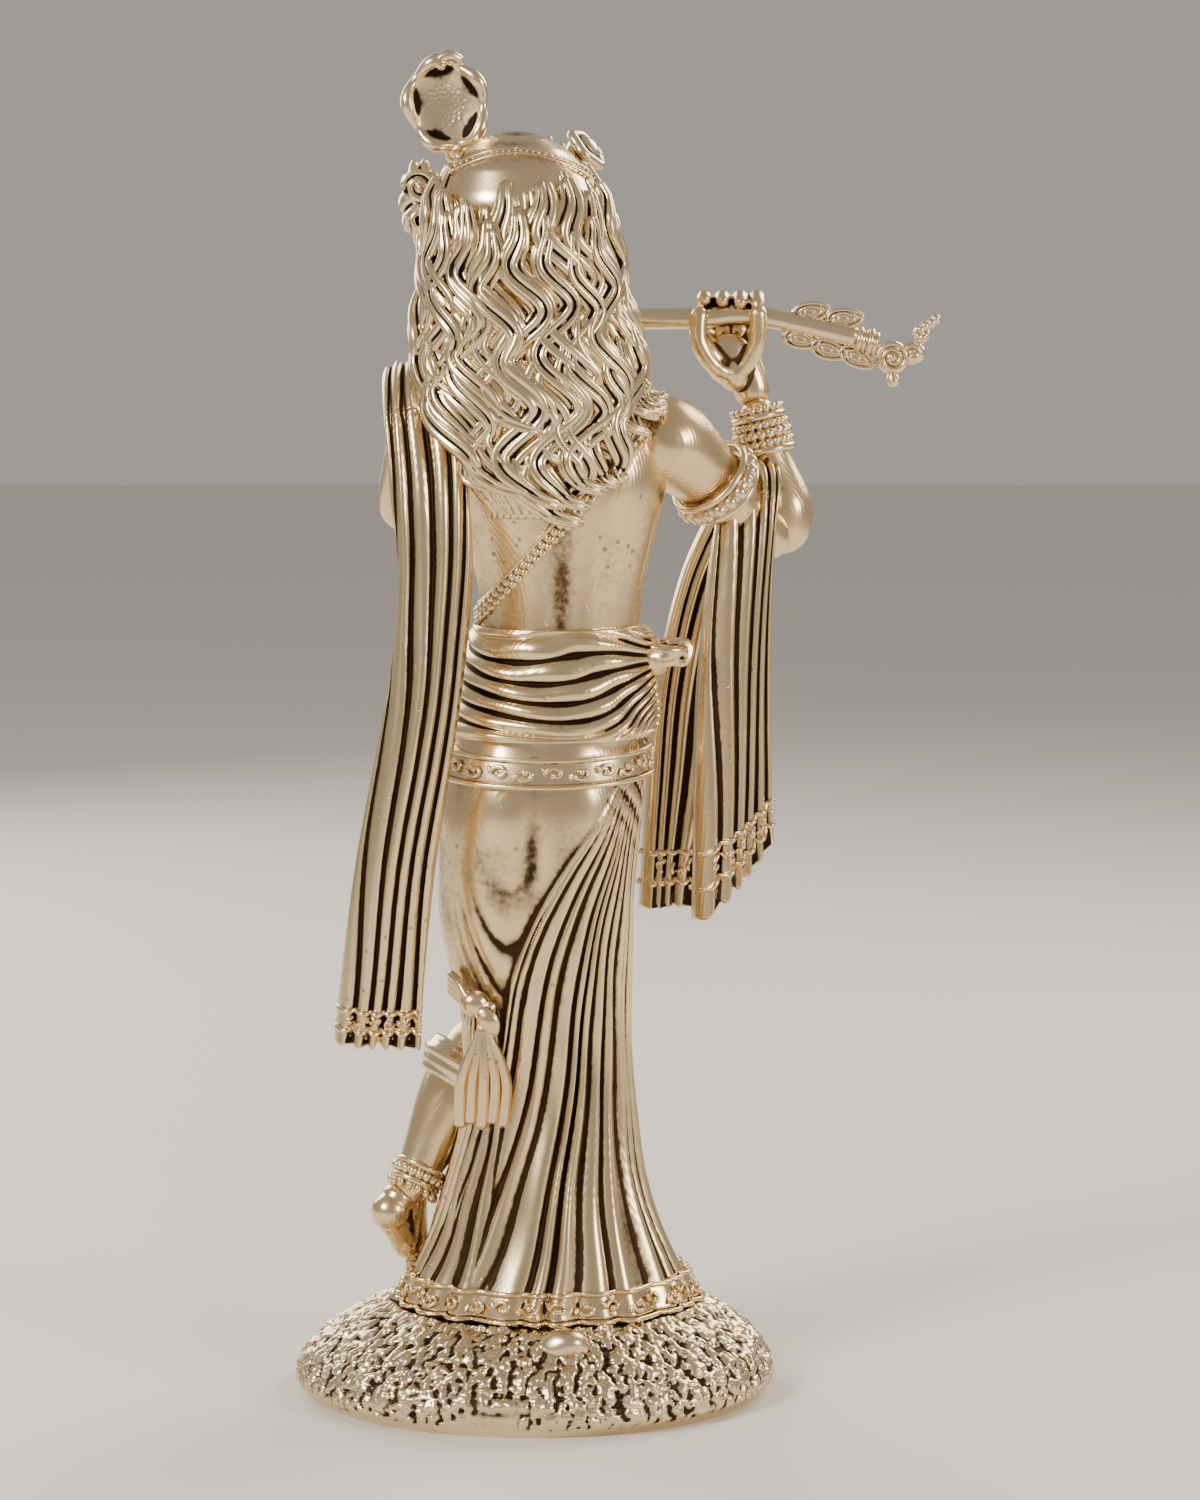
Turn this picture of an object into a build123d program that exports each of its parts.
from build123d import *

import os

# A standing flute player, a cast brass figurine, as separate seated castings.
# Millimetres, +Z up, origin at the centre of the plinth's underside.
# The figure faces -Y, so its own left side is +X and its back is +Y.

os.makedirs("parts", exist_ok=True)

# ---- driving sizes ----
seat_height = 10.2  # the flat seat on top of the plinth, which the skirt stands on
spigot_radius = 5.0
spigot_depth = 4.0
spigot_fit = 0.05
skirt_top = 76.0
neck_low = 113.0
flute_radius = 1.2
flute_y = -10.6

# (x, y, z, half width, half depth) of the level outlines, low to high
mound_outlines = [
    (0.0, 0.0, 0.0, 25.6, 20.8),
    (0.0, 0.0, 2.8, 26.5, 21.6),
    (-0.2, 0.0, 5.4, 25.0, 20.2),
    (-0.6, 0.0, 8.2, 21.4, 17.0),
    (-1.2, 0.0, seat_height, 17.2, 13.8),
]
skirt_outlines = [
    (-1.8, 0.0, seat_height, 16.2, 12.8),
    (-1.6, 0.0, 13.6, 14.8, 11.8),
    (-1.6, 0.0, 18.0, 12.8, 10.4),
    (-1.4, -0.2, 24.0, 10.9, 9.0),
    (-1.7, -0.6, 31.0, 9.4, 7.9),
    (-1.6, -1.2, 38.0, 9.0, 7.9),
    (-0.7, -1.4, 46.0, 9.7, 8.6),
    (-0.1, -0.8, 53.0, 10.7, 8.9),
    (-0.3, 0.0, 61.0, 11.3, 8.9),
    (-0.8, 0.5, 68.5, 11.5, 8.8),
    (-1.3, 0.5, 73.0, 10.9, 8.1),
    (-1.7, 0.4, skirt_top, 10.2, 7.5),
]
torso_outlines = [
    (-1.8, 0.4, skirt_top, 10.0, 7.3),
    (-2.4, 0.2, 81.0, 9.2, 6.7),
    (-2.9, 0.0, 87.0, 8.9, 6.2),
    (-3.0, 0.1, 93.0, 9.3, 6.5),
    (-2.7, 0.4, 100.0, 11.2, 7.2),
    (-2.2, 0.5, 106.0, 12.8, 7.3),
    (-1.9, 0.6, 110.0, 12.2, 6.6),
    (-1.6, 0.7, neck_low, 9.2, 5.4),
    (-1.3, 0.6, 115.5, 5.0, 4.1),
]
head_outlines = [
    (-0.6, -2.6, 119.6, 2.6, 3.0),
    (-0.4, -2.0, 122.0, 5.4, 6.2),
    (0.2, -1.6, 126.0, 7.0, 8.0),
    (0.9, -1.2, 130.5, 7.6, 8.6),
    (1.4, -0.8, 135.0, 7.2, 8.0),
    (1.7, -0.6, 138.8, 5.6, 6.2),
    (1.9, -0.4, 141.6, 2.4, 2.6),
]
hair_outlines = [
    (1.6, 4.6, 105.0, 8.0, 5.0),
    (0.2, 4.2, 112.0, 10.6, 5.8),
    (0.0, 3.4, 118.0, 10.4, 6.6),
    (0.8, 2.8, 124.0, 9.6, 7.6),
    (1.4, 2.4, 130.0, 9.4, 8.4),
    (1.7, 2.0, 135.0, 8.6, 7.8),
    (1.9, 1.6, 139.0, 6.0, 5.6),
]


# ---- helpers ----
def level_ellipse(x, y, z, half_x, half_y, grow=0.0):
    """An elliptical face lying level at height z."""
    with BuildSketch(Plane.XY.offset(z)) as outline:
        with Locations((x, y)):
            Ellipse(half_x + grow, half_y + grow)
    return outline.sketch.face()


def ellipse_stack(outlines, grow=0.0):
    return [level_ellipse(*outline, grow=grow) for outline in outlines]


def disc_stack(points, radii, squash=1.0):
    """Discs square to a path through the points, for a tapering limb."""
    places = [Vector(*point) for point in points]
    discs = []
    for step, (place, radius) in enumerate(zip(places, radii)):
        before = places[max(step - 1, 0)]
        after = places[min(step + 1, len(places) - 1)]
        with BuildSketch(Plane(origin=place, z_dir=after - before)) as outline:
            Ellipse(radius, radius * squash)
        discs.append(outline.sketch.face())
    return discs


def slab(centre, normal, thickness, side=80.0):
    """A flat slab, used to take a band out of a grown body."""
    plane = Plane(origin=centre, z_dir=normal)
    return plane * Box(side, side, thickness)


def egg(centre, half_sizes, turn=(0.0, 0.0, 0.0)):
    """An ellipsoid as a standalone solid."""
    ball = scale(Sphere(1.0, mode=Mode.PRIVATE), by=half_sizes, mode=Mode.PRIVATE)
    return Location(centre, turn) * ball


def save(builder, name):
    builder.part.label = name
    export_step(builder.part, f"parts/{name}.step")


# ---- plinth ----
with BuildPart() as base_mound:
    loft(sections=ellipse_stack(mound_outlines))
    with Locations((-1.2, 0, seat_height - spigot_depth / 2)):
        Cylinder(spigot_radius + spigot_fit, spigot_depth, mode=Mode.SUBTRACT)
save(base_mound, "base_mound")

with BuildPart() as base_boulder:
    add(egg((-3.4, 15.2, 7.4), (3.3, 2.6, 3.0)))
    add(base_mound.part, mode=Mode.SUBTRACT)
save(base_boulder, "base_boulder")

# ---- skirt of the dhoti ----
with BuildPart() as dhoti_skirt:
    loft(sections=ellipse_stack(skirt_outlines))
    with Locations((-1.2, 0, seat_height - spigot_depth / 2 + 0.1)):
        Cylinder(spigot_radius, spigot_depth - 0.2)
save(dhoti_skirt, "dhoti_skirt")

with BuildPart() as dhoti_hem_band:
    loft(sections=ellipse_stack(skirt_outlines[:4], grow=0.9))
    add(slab((-1.8, 0, 12.4), (0.02, 0, 1), 3.2), mode=Mode.INTERSECT)
    add(dhoti_skirt.part, mode=Mode.SUBTRACT)
save(dhoti_hem_band, "dhoti_hem_band")

with BuildPart() as hip_belt:
    loft(sections=ellipse_stack(skirt_outlines[-5:], grow=1.0))
    add(slab((-1.0, 0, 73.2), (0, 0.12, 1), 3.8), mode=Mode.INTERSECT)
    add(dhoti_skirt.part, mode=Mode.SUBTRACT)
save(hip_belt, "hip_belt")

with BuildPart() as dhoti_front_pleats:
    front_pleat_outlines = [
        (-2.2, -11.2, 15.0, 5.6, 2.4),
        (-1.6, -9.4, 30.0, 4.4, 2.2),
        (-0.6, -10.2, 46.0, 3.4, 2.0),
        (-0.6, -8.8, 60.0, 2.6, 1.8),
        (-1.2, -8.0, 70.0, 2.0, 1.4),
    ]
    loft(sections=ellipse_stack(front_pleat_outlines))
    add(dhoti_skirt.part, mode=Mode.SUBTRACT)
    add(base_mound.part, mode=Mode.SUBTRACT)
    add(dhoti_hem_band.part, mode=Mode.SUBTRACT)
    add(hip_belt.part, mode=Mode.SUBTRACT)
save(dhoti_front_pleats, "dhoti_front_pleats")

# ---- legs and feet ----
calf_points = [(4.6, -5.6, 40.0), (8.4, -4.2, 34.6), (11.2, -2.6, 28.6), (13.8, -1.0, 23.2)]
with BuildPart() as crossed_calf:
    loft(sections=disc_stack(calf_points, [4.2, 3.7, 3.0, 2.1]))
    add(dhoti_skirt.part, mode=Mode.SUBTRACT)
save(crossed_calf, "crossed_calf")

with BuildPart() as knee_cuff:
    loft(sections=disc_stack(calf_points[:3], [5.2, 4.8, 4.2]))
    add(slab((7.6, -4.4, 35.6), (0.52, 0.2, -0.82), 3.0), mode=Mode.INTERSECT)
    add(crossed_calf.part, mode=Mode.SUBTRACT)
    add(dhoti_skirt.part, mode=Mode.SUBTRACT)
save(knee_cuff, "knee_cuff")

with BuildPart() as crossed_foot:
    loft(
        sections=disc_stack(
            [(17.4, 0.8, 21.6), (16.2, -2.0, 18.6), (14.6, -5.2, 14.8), (13.2, -8.4, 11.4)],
            [1.7, 2.2, 2.4, 1.5],
            squash=0.8,
        )
    )
    with Locations((16.9, 0.5, 21.6)):
        Sphere(1.9)
    add(egg((15.0, -1.0, 21.2), (2.1, 2.2, 2.4)))
    add(crossed_calf.part, mode=Mode.SUBTRACT)
    add(dhoti_skirt.part, mode=Mode.SUBTRACT)
    add(dhoti_hem_band.part, mode=Mode.SUBTRACT)
    add(base_mound.part, mode=Mode.SUBTRACT)
save(crossed_foot, "crossed_foot")

anklet_radius = 3.3
anklet_width = 1.7
with BuildPart() as crossed_anklet:
    with Locations(Plane(origin=(13.2, -1.4, 24.3), z_dir=(0.42, 0.28, -0.86))):
        Cylinder(anklet_radius, anklet_width)
    add(crossed_calf.part, mode=Mode.SUBTRACT)
    add(crossed_foot.part, mode=Mode.SUBTRACT)
save(crossed_anklet, "crossed_anklet")

with BuildPart() as standing_foot:
    loft(
        sections=disc_stack(
            [(-6.4, -8.0, 12.2), (-6.8, -11.6, 11.6), (-7.4, -15.2, 10.2), (-7.9, -17.6, 8.8)],
            [2.7, 2.8, 2.6, 1.5],
            squash=0.8,
        )
    )
    add(base_mound.part, mode=Mode.SUBTRACT)
    add(dhoti_skirt.part, mode=Mode.SUBTRACT)
    add(dhoti_hem_band.part, mode=Mode.SUBTRACT)
    add(dhoti_front_pleats.part, mode=Mode.SUBTRACT)
save(standing_foot, "standing_foot")

with BuildPart() as knee_tie_knot:
    add(egg((6.4, 6.2, 45.6), (4.2, 2.0, 2.2), (0, 28, 0)))
    add(dhoti_skirt.part, mode=Mode.SUBTRACT)
save(knee_tie_knot, "knee_tie_knot")

with BuildPart() as knee_tie_tails:
    tail_outlines = [
        (6.2, 6.0, 31.5, 2.4, 1.6),
        (5.6, 6.4, 36.5, 3.0, 1.7),
        (5.4, 6.6, 43.5, 2.4, 1.4),
    ]
    loft(sections=ellipse_stack(tail_outlines))
    add(dhoti_skirt.part, mode=Mode.SUBTRACT)
    add(knee_tie_knot.part, mode=Mode.SUBTRACT)
    add(crossed_calf.part, mode=Mode.SUBTRACT)
    add(knee_cuff.part, mode=Mode.SUBTRACT)
save(knee_tie_tails, "knee_tie_tails")

# ---- torso, sash and strand ----
with BuildPart() as torso:
    loft(sections=ellipse_stack(torso_outlines))
save(torso, "torso")

with BuildPart() as waist_sash:
    sash_outlines = [
        (-1.7, 0.4, 75.2, 11.4, 8.7),
        (-2.2, 0.3, 79.0, 11.0, 8.3),
        (-2.7, 0.1, 83.5, 10.3, 7.6),
        (-2.9, 0.0, 87.6, 9.7, 7.0),
    ]
    loft(sections=ellipse_stack(sash_outlines))
    add(torso.part, mode=Mode.SUBTRACT)
    add(dhoti_skirt.part, mode=Mode.SUBTRACT)
    add(hip_belt.part, mode=Mode.SUBTRACT)
save(waist_sash, "waist_sash")

with BuildPart() as sash_side_knot:
    add(egg((-13.6, 0.6, 84.2), (2.4, 2.2, 2.6)))
    with Locations(Location((-15.6, -0.4, 84.8), (90, 0, 20))):
        Torus(1.7, 0.7)
    add(waist_sash.part, mode=Mode.SUBTRACT)
    add(torso.part, mode=Mode.SUBTRACT)
save(sash_side_knot, "sash_side_knot")

# ---- head, seated on the neck ----
with BuildPart() as head:
    loft(sections=ellipse_stack(head_outlines))
    with Locations(Location((-3.0, -9.4, 128.4), (100, 0, -20))):
        Cone(1.3, 0.4, 3.0)
save(head, "head")

with BuildPart() as neck:
    loft(sections=disc_stack([(-1.5, 0.7, 112.4), (-0.8, 0.4, 117.5), (0.0, -0.2, 123.0)], [4.2, 3.4, 3.6]))
    add(torso.part, mode=Mode.SUBTRACT)
    add(head.part, mode=Mode.SUBTRACT)
save(neck, "neck")

with BuildPart() as crown_band:
    loft(sections=ellipse_stack(head_outlines[2:], grow=1.3))
    add(slab((1.4, -1.0, 135.4), (0.1, 0.3, 0.95), 3.2), mode=Mode.INTERSECT)
    add(head.part, mode=Mode.SUBTRACT)
save(crown_band, "crown_band")

with BuildPart() as crown_front_jewel:
    add(egg((-1.6, -9.6, 137.6), (2.6, 1.4, 3.8), (-14, 9, -24)))
    add(crown_band.part, mode=Mode.SUBTRACT)
    add(head.part, mode=Mode.SUBTRACT)
save(crown_front_jewel, "crown_front_jewel")

with BuildPart() as hair_cap:
    loft(sections=ellipse_stack(hair_outlines))
    add(head.part, mode=Mode.SUBTRACT)
    add(crown_band.part, mode=Mode.SUBTRACT)
    add(neck.part, mode=Mode.SUBTRACT)
    add(torso.part, mode=Mode.SUBTRACT)
    add(
        Location((0, -9.4, 120)) * Box(40, 18, 60, mode=Mode.PRIVATE),
        mode=Mode.SUBTRACT,
    )
save(hair_cap, "hair_cap")

with BuildPart() as hair_centre_locks:
    lower_outlines = [
        (0.6, 8.4, 98.0, 2.6, 1.6),
        (0.8, 8.4, 101.0, 5.6, 2.2),
        (0.6, 8.0, 105.0, 7.6, 3.2),
        (0.4, 7.6, 112.0, 8.4, 4.4),
    ]
    loft(sections=ellipse_stack(lower_outlines))
    add(hair_cap.part, mode=Mode.SUBTRACT)
    add(torso.part, mode=Mode.SUBTRACT)
save(hair_centre_locks, "hair_centre_locks")

with BuildPart() as hair_right_locks:
    loft(
        sections=disc_stack(
            [(-8.6, 4.0, 124.0), (-10.6, 4.6, 118.0), (-11.8, 5.6, 112.0), (-11.4, 6.2, 107.2)],
            [2.0, 2.8, 2.8, 1.0],
        )
    )
    for neighbour in (hair_cap, torso, hair_centre_locks):
        add(neighbour.part, mode=Mode.SUBTRACT)
save(hair_right_locks, "hair_right_locks")

# ---- crest, jewel and ear ornaments ----
with BuildPart() as feather_crest:
    add(egg((9.5, -2.0, 145.0), (4.9, 1.6, 5.2), (8, 14, 0)))
    add(
        egg((9.5, -0.4, 145.3), (3.6, 1.3, 3.9), (8, 14, 0)),
        mode=Mode.SUBTRACT,
    )
    add(egg((7.6, -2.2, 140.2), (1.6, 1.5, 2.4), (0, 20, 0)))
    for neighbour in (head, crown_band, hair_cap):
        add(neighbour.part, mode=Mode.SUBTRACT)
save(feather_crest, "feather_crest")

with BuildPart() as crown_side_jewel:
    with Locations(Location((-5.4, -3.4, 139.6), (10, -52, 0))):
        Cylinder(2.5, 1.8)
    with Locations(Location((-3.9, -3.2, 138.2), (10, -52, 0))):
        Cylinder(1.4, 3.2)
    for neighbour in (head, crown_band, hair_cap):
        add(neighbour.part, mode=Mode.SUBTRACT)
save(crown_side_jewel, "crown_side_jewel")

ear_left_outlines = [
    (12.4, -1.0, 129.8, 0.9, 0.9),
    (12.5, -1.0, 132.6, 2.2, 2.0),
    (12.3, -1.0, 136.0, 2.3, 2.1),
    (11.8, -1.0, 139.0, 0.9, 0.9),
]
ear_right_outlines = [
    (-7.9, -3.0, 124.2, 0.6, 0.6),
    (-7.9, -3.0, 126.2, 1.5, 1.5),
    (-7.7, -3.0, 128.4, 1.4, 1.4),
    (-7.3, -3.0, 130.2, 0.6, 0.6),
]
with BuildPart() as ear_ornament_left:
    loft(sections=ellipse_stack(ear_left_outlines))
    for neighbour in (head, crown_band, hair_cap, feather_crest):
        add(neighbour.part, mode=Mode.SUBTRACT)
save(ear_ornament_left, "ear_ornament_left")

with BuildPart() as ear_ornament_right:
    loft(sections=ellipse_stack(ear_right_outlines))
    for neighbour in (head, crown_band, hair_cap, hair_right_locks):
        add(neighbour.part, mode=Mode.SUBTRACT)
save(ear_ornament_right, "ear_ornament_right")

# ---- right arm, which reaches out to the flute ----
right_arm_points = [
    (-12.6, 0.8, 109.4),
    (-16.4, -1.0, 107.2),
    (-20.6, -4.2, 102.8),
    (-24.8, -7.6, 98.2),
    (-28.0, -10.0, 95.0),
]
right_arm_radii = [4.6, 4.9, 4.3, 3.6, 3.0]
with BuildPart() as right_upper_arm:
    loft(sections=disc_stack(right_arm_points, right_arm_radii))
    with Locations(right_arm_points[-1]):
        Sphere(3.0)
    for neighbour in (torso, hair_right_locks, hair_cap):
        add(neighbour.part, mode=Mode.SUBTRACT)
save(right_upper_arm, "right_upper_arm")

with BuildPart() as right_armlet:
    loft(sections=disc_stack(right_arm_points[1:4], [5.9, 5.3, 4.6]))
    add(slab((-20.6, -4.2, 102.8), (-8.4, -6.6, -9.0), 2.6), mode=Mode.INTERSECT)
    add(right_upper_arm.part, mode=Mode.SUBTRACT)
save(right_armlet, "right_armlet")

right_forearm_points = [
    (-28.1, -10.1, 95.2),
    (-28.0, -10.6, 100.0),
    (-26.6, -11.2, 105.5),
    (-25.0, -11.6, 111.5),
]
with BuildPart() as right_forearm:
    loft(sections=disc_stack(right_forearm_points, [2.9, 3.1, 2.6, 2.0]))
    add(right_upper_arm.part, mode=Mode.SUBTRACT)
save(right_forearm, "right_forearm")

with BuildPart() as right_bangles:
    loft(sections=disc_stack(right_forearm_points[1:], [4.4, 3.8, 3.2]))
    add(slab((-25.8, -11.4, 108.6), (1.6, -0.4, 6.0), 5.4), mode=Mode.INTERSECT)
    add(right_forearm.part, mode=Mode.SUBTRACT)
save(right_bangles, "right_bangles")

# ---- flute ----
flute_points = [
    (2.4, flute_y, 121.1),
    (-8.0, flute_y, 121.1),
    (-18.6, flute_y, 121.2),
    (-23.0, flute_y, 121.7),
    (-27.4, flute_y, 121.2),
    (-36.8, flute_y, 118.9),
]
with BuildPart() as flute_tube:
    loft(sections=disc_stack(flute_points, [flute_radius] * 5 + [1.05]))
    add(head.part, mode=Mode.SUBTRACT)
save(flute_tube, "flute_tube")

flute_tip_dir = Vector(-9.4, 0, -2.3).normalized()


def along_flute(distance, drop=0.0, shift_y=0.0):
    """A point beyond the tube's end, along its last run."""
    end = Vector(*flute_points[-1]) + flute_tip_dir * distance
    return Vector(end.X, end.Y + shift_y, end.Z - drop)


with BuildPart() as flute_collars:
    for distance, radius in ((0.25, 1.5), (0.85, 1.35), (1.5, 1.6)):
        with Locations(Plane(origin=along_flute(distance), z_dir=flute_tip_dir)):
            Cylinder(radius, 0.66)
    add(flute_tube.part, mode=Mode.SUBTRACT)
save(flute_collars, "flute_collars")

with BuildPart() as flute_finial:
    with Locations(along_flute(3.6)):
        Sphere(1.9)
    with Locations(Location(tuple(along_flute(3.6)), (90, 0, 0))):
        Cylinder(2.0, 3.2)
    add(egg(tuple(along_flute(5.8)), (1.5, 1.2, 1.2)))
    with Locations(along_flute(3.9, drop=2.9)):
        Cone(1.0, 0.55, 2.4)
    with Locations(Location(tuple(along_flute(6.9, drop=-2.4)), (90, 0, 0))):
        Torus(0.95, 0.42)
    add(egg(tuple(along_flute(8.4, drop=-3.9)), (1.0, 0.8, 0.9)))
    add(egg(tuple(along_flute(7.8, drop=-3.2)), (0.7, 0.6, 0.9)))
    add(flute_collars.part, mode=Mode.SUBTRACT)
save(flute_finial, "flute_finial")

leaf_places = [
    (-29.9, 119.2, 8),
    (-33.2, 117.9, 14),
    (-36.6, 117.0, 24),
    (-31.2, 121.9, 14),
    (-35.2, 121.3, 16),
]
with BuildPart() as flute_leaves:
    for leaf_x, leaf_z, pitch in leaf_places:
        add(egg((leaf_x, flute_y, leaf_z), (2.1, 0.45, 1.0), (0, -pitch, 0)))
    add(flute_tube.part, mode=Mode.SUBTRACT)
    add(flute_collars.part, mode=Mode.SUBTRACT)
    add(flute_finial.part, mode=Mode.SUBTRACT)
save(flute_leaves, "flute_leaves")

# ---- hands: palm and four fingers, closed round the flute ----
with BuildPart() as right_hand:
    loft(
        sections=disc_stack(
            [(-25.0, -11.6, 111.3), (-24.0, -11.9, 114.6), (-22.8, -12.1, 118.6)],
            [2.0, 2.6, 3.0],
            squash=0.72,
        )
    )
    for finger_x in (-20.0, -21.7, -23.3, -25.0):
        with Locations(Location((finger_x, flute_y, 121.5), (0, 90, 0))):
            Torus(flute_radius + 0.75, 0.74)
    add(right_forearm.part, mode=Mode.SUBTRACT)
    add(right_bangles.part, mode=Mode.SUBTRACT)
    add(flute_tube.part, mode=Mode.SUBTRACT)
save(right_hand, "right_hand")

left_arm_points = [(9.4, 0.8, 109.4), (12.4, -1.8, 106.4), (14.4, -6.0, 102.0), (15.0, -10.2, 98.4)]
with BuildPart() as left_upper_arm:
    loft(sections=disc_stack(left_arm_points, [4.6, 4.6, 3.8, 3.0]))
    with Locations(left_arm_points[-1]):
        Sphere(3.0)
    for neighbour in (torso, hair_cap):
        add(neighbour.part, mode=Mode.SUBTRACT)
save(left_upper_arm, "left_upper_arm")

left_forearm_points = [(15.0, -10.4, 98.6), (10.8, -12.0, 102.6), (5.4, -13.6, 108.0), (0.8, -14.4, 112.6)]
with BuildPart() as left_forearm:
    loft(sections=disc_stack(left_forearm_points, [2.9, 3.0, 2.5, 2.0]))
    add(left_upper_arm.part, mode=Mode.SUBTRACT)
save(left_forearm, "left_forearm")

with BuildPart() as left_bangles:
    loft(sections=disc_stack(left_forearm_points[1:], [4.2, 3.6, 3.1]))
    add(slab((2.7, -14.1, 110.7), (-4.6, -0.8, 4.6), 4.4), mode=Mode.INTERSECT)
    add(left_forearm.part, mode=Mode.SUBTRACT)
save(left_bangles, "left_bangles")

with BuildPart() as left_hand:
    loft(
        sections=disc_stack(
            [(0.8, -14.4, 112.6), (-2.6, -14.2, 115.8), (-5.6, -13.4, 118.6)],
            [2.0, 2.5, 2.8],
            squash=0.72,
        )
    )
    for finger_x in (-4.6, -6.2, -7.8, -9.4):
        with Locations(Location((finger_x, flute_y - 0.3, 121.1), (0, 90, 0))):
            Torus(flute_radius + 0.75, 0.72)
    for neighbour in (left_forearm, left_bangles, flute_tube, head):
        add(neighbour.part, mode=Mode.SUBTRACT)
save(left_hand, "left_hand")

# ---- bead strand across the torso, and the collar at the throat ----
with BuildPart() as bead_strand:
    loft(sections=ellipse_stack(torso_outlines[1:], grow=0.9))
    add(slab((-2.6, 0, 98.6), (0.72, 0, 0.69), 2.6), mode=Mode.INTERSECT)
    for neighbour in (torso, waist_sash, hair_cap, hair_centre_locks, hair_right_locks, neck):
        add(neighbour.part, mode=Mode.SUBTRACT)
    for neighbour in (left_upper_arm, right_upper_arm):
        add(neighbour.part, mode=Mode.SUBTRACT)
save(bead_strand, "bead_strand")

with BuildPart() as collar_necklace:
    loft(sections=ellipse_stack(torso_outlines[4:], grow=0.8))
    add(slab((-1.6, 0.4, 110.6), (0, -0.5, 0.86), 2.6), mode=Mode.INTERSECT)
    add(
        Location((0, 10.6, 110)) * Box(60, 20, 40, mode=Mode.PRIVATE),
        mode=Mode.SUBTRACT,
    )
    for neighbour in (torso, neck, bead_strand, left_upper_arm, right_upper_arm, head):
        add(neighbour.part, mode=Mode.SUBTRACT)
save(collar_necklace, "collar_necklace")

# ---- shawl: left shoulder, left fall and its border ----
with BuildPart() as shawl_left_shoulder:
    add(egg((11.2, 1.6, 109.2), (5.6, 6.4, 5.6)))
    shoulder_neighbours = (torso, left_upper_arm, hair_cap, hair_centre_locks)
    shoulder_neighbours += (bead_strand, collar_necklace)
    for neighbour in shoulder_neighbours:
        add(neighbour.part, mode=Mode.SUBTRACT)
save(shawl_left_shoulder, "shawl_left_shoulder")

fall_half_depth = 1.9
left_fall_outlines = [
    (17.3, 8.2, 41.6, 4.7, fall_half_depth),
    (16.4, 8.8, 50.0, 4.6, fall_half_depth),
    (14.9, 9.6, 62.0, 4.4, fall_half_depth),
    (12.6, 9.8, 74.0, 4.1, fall_half_depth),
    (11.0, 9.2, 84.0, 3.8, fall_half_depth),
    (9.9, 8.2, 94.0, 3.6, fall_half_depth),
    (10.9, 7.4, 103.0, 4.0, 1.8),
    (11.4, 6.0, 110.0, 4.2, 1.4),
]
left_neighbours = (shawl_left_shoulder, torso, dhoti_skirt, hip_belt, waist_sash, hair_cap)
left_neighbours += (hair_centre_locks, bead_strand, left_upper_arm, knee_tie_knot)
with BuildPart() as shawl_left_fall:
    loft(sections=ellipse_stack(left_fall_outlines))
    for neighbour in left_neighbours:
        add(neighbour.part, mode=Mode.SUBTRACT)
save(shawl_left_fall, "shawl_left_fall")

with BuildPart() as shawl_left_border:
    loft(sections=ellipse_stack(left_fall_outlines[:3], grow=0.6))
    add(slab((17.0, 8.4, 45.6), (0.1, 0, 1), 5.4), mode=Mode.INTERSECT)
    add(shawl_left_fall.part, mode=Mode.SUBTRACT)
save(shawl_left_border, "shawl_left_border")

# ---- shawl: fold over the right elbow, two falls and their border ----
with BuildPart() as shawl_right_fold:
    add(egg((-24.6, -5.6, 100.4), (4.2, 4.0, 4.2), (0, 40, 30)))
    for neighbour in (right_upper_arm, right_forearm, right_armlet):
        add(neighbour.part, mode=Mode.SUBTRACT)
save(shawl_right_fold, "shawl_right_fold")

rear_fall_outlines = [
    (-22.3, -3.8, 58.0, 4.8, 2.4),
    (-22.4, -4.0, 70.0, 4.8, 2.4),
    (-22.8, -4.4, 82.0, 4.6, 2.3),
    (-23.6, -4.4, 92.0, 4.0, 2.2),
    (-24.2, -4.2, 99.0, 3.0, 1.9),
]
right_neighbours = (right_upper_arm, right_forearm, right_armlet, shawl_right_fold)
right_neighbours += (torso, waist_sash, sash_side_knot, dhoti_skirt, hip_belt)
with BuildPart() as shawl_right_rear_fall:
    loft(sections=ellipse_stack(rear_fall_outlines))
    for neighbour in right_neighbours:
        add(neighbour.part, mode=Mode.SUBTRACT)
save(shawl_right_rear_fall, "shawl_right_rear_fall")

front_fall_outlines = [
    (-16.2, -11.4, 53.0, 4.6, 1.7),
    (-17.0, -11.6, 66.0, 4.8, 1.7),
    (-18.2, -11.6, 80.0, 4.8, 1.7),
    (-20.6, -11.6, 92.0, 4.6, 1.6),
    (-22.8, -11.6, 98.0, 4.0, 1.4),
]
with BuildPart() as shawl_right_front_fall:
    loft(sections=ellipse_stack(front_fall_outlines))
    for neighbour in (*right_neighbours, shawl_right_rear_fall):
        add(neighbour.part, mode=Mode.SUBTRACT)
save(shawl_right_front_fall, "shawl_right_front_fall")

with BuildPart() as shawl_right_border:
    loft(sections=ellipse_stack(rear_fall_outlines[:3], grow=0.6))
    add(slab((-22.3, -3.8, 62.4), (0.1, 0, 1), 4.4), mode=Mode.INTERSECT)
    add(shawl_right_rear_fall.part, mode=Mode.SUBTRACT)
save(shawl_right_border, "shawl_right_border")

with BuildPart() as shawl_front_border:
    loft(sections=ellipse_stack(front_fall_outlines[:3], grow=0.6))
    add(slab((-16.4, -11.4, 57.8), (0.1, 0, 1), 4.4), mode=Mode.INTERSECT)
    for neighbour in (shawl_right_front_fall, dhoti_skirt, dhoti_front_pleats):
        add(neighbour.part, mode=Mode.SUBTRACT)
save(shawl_front_border, "shawl_front_border")
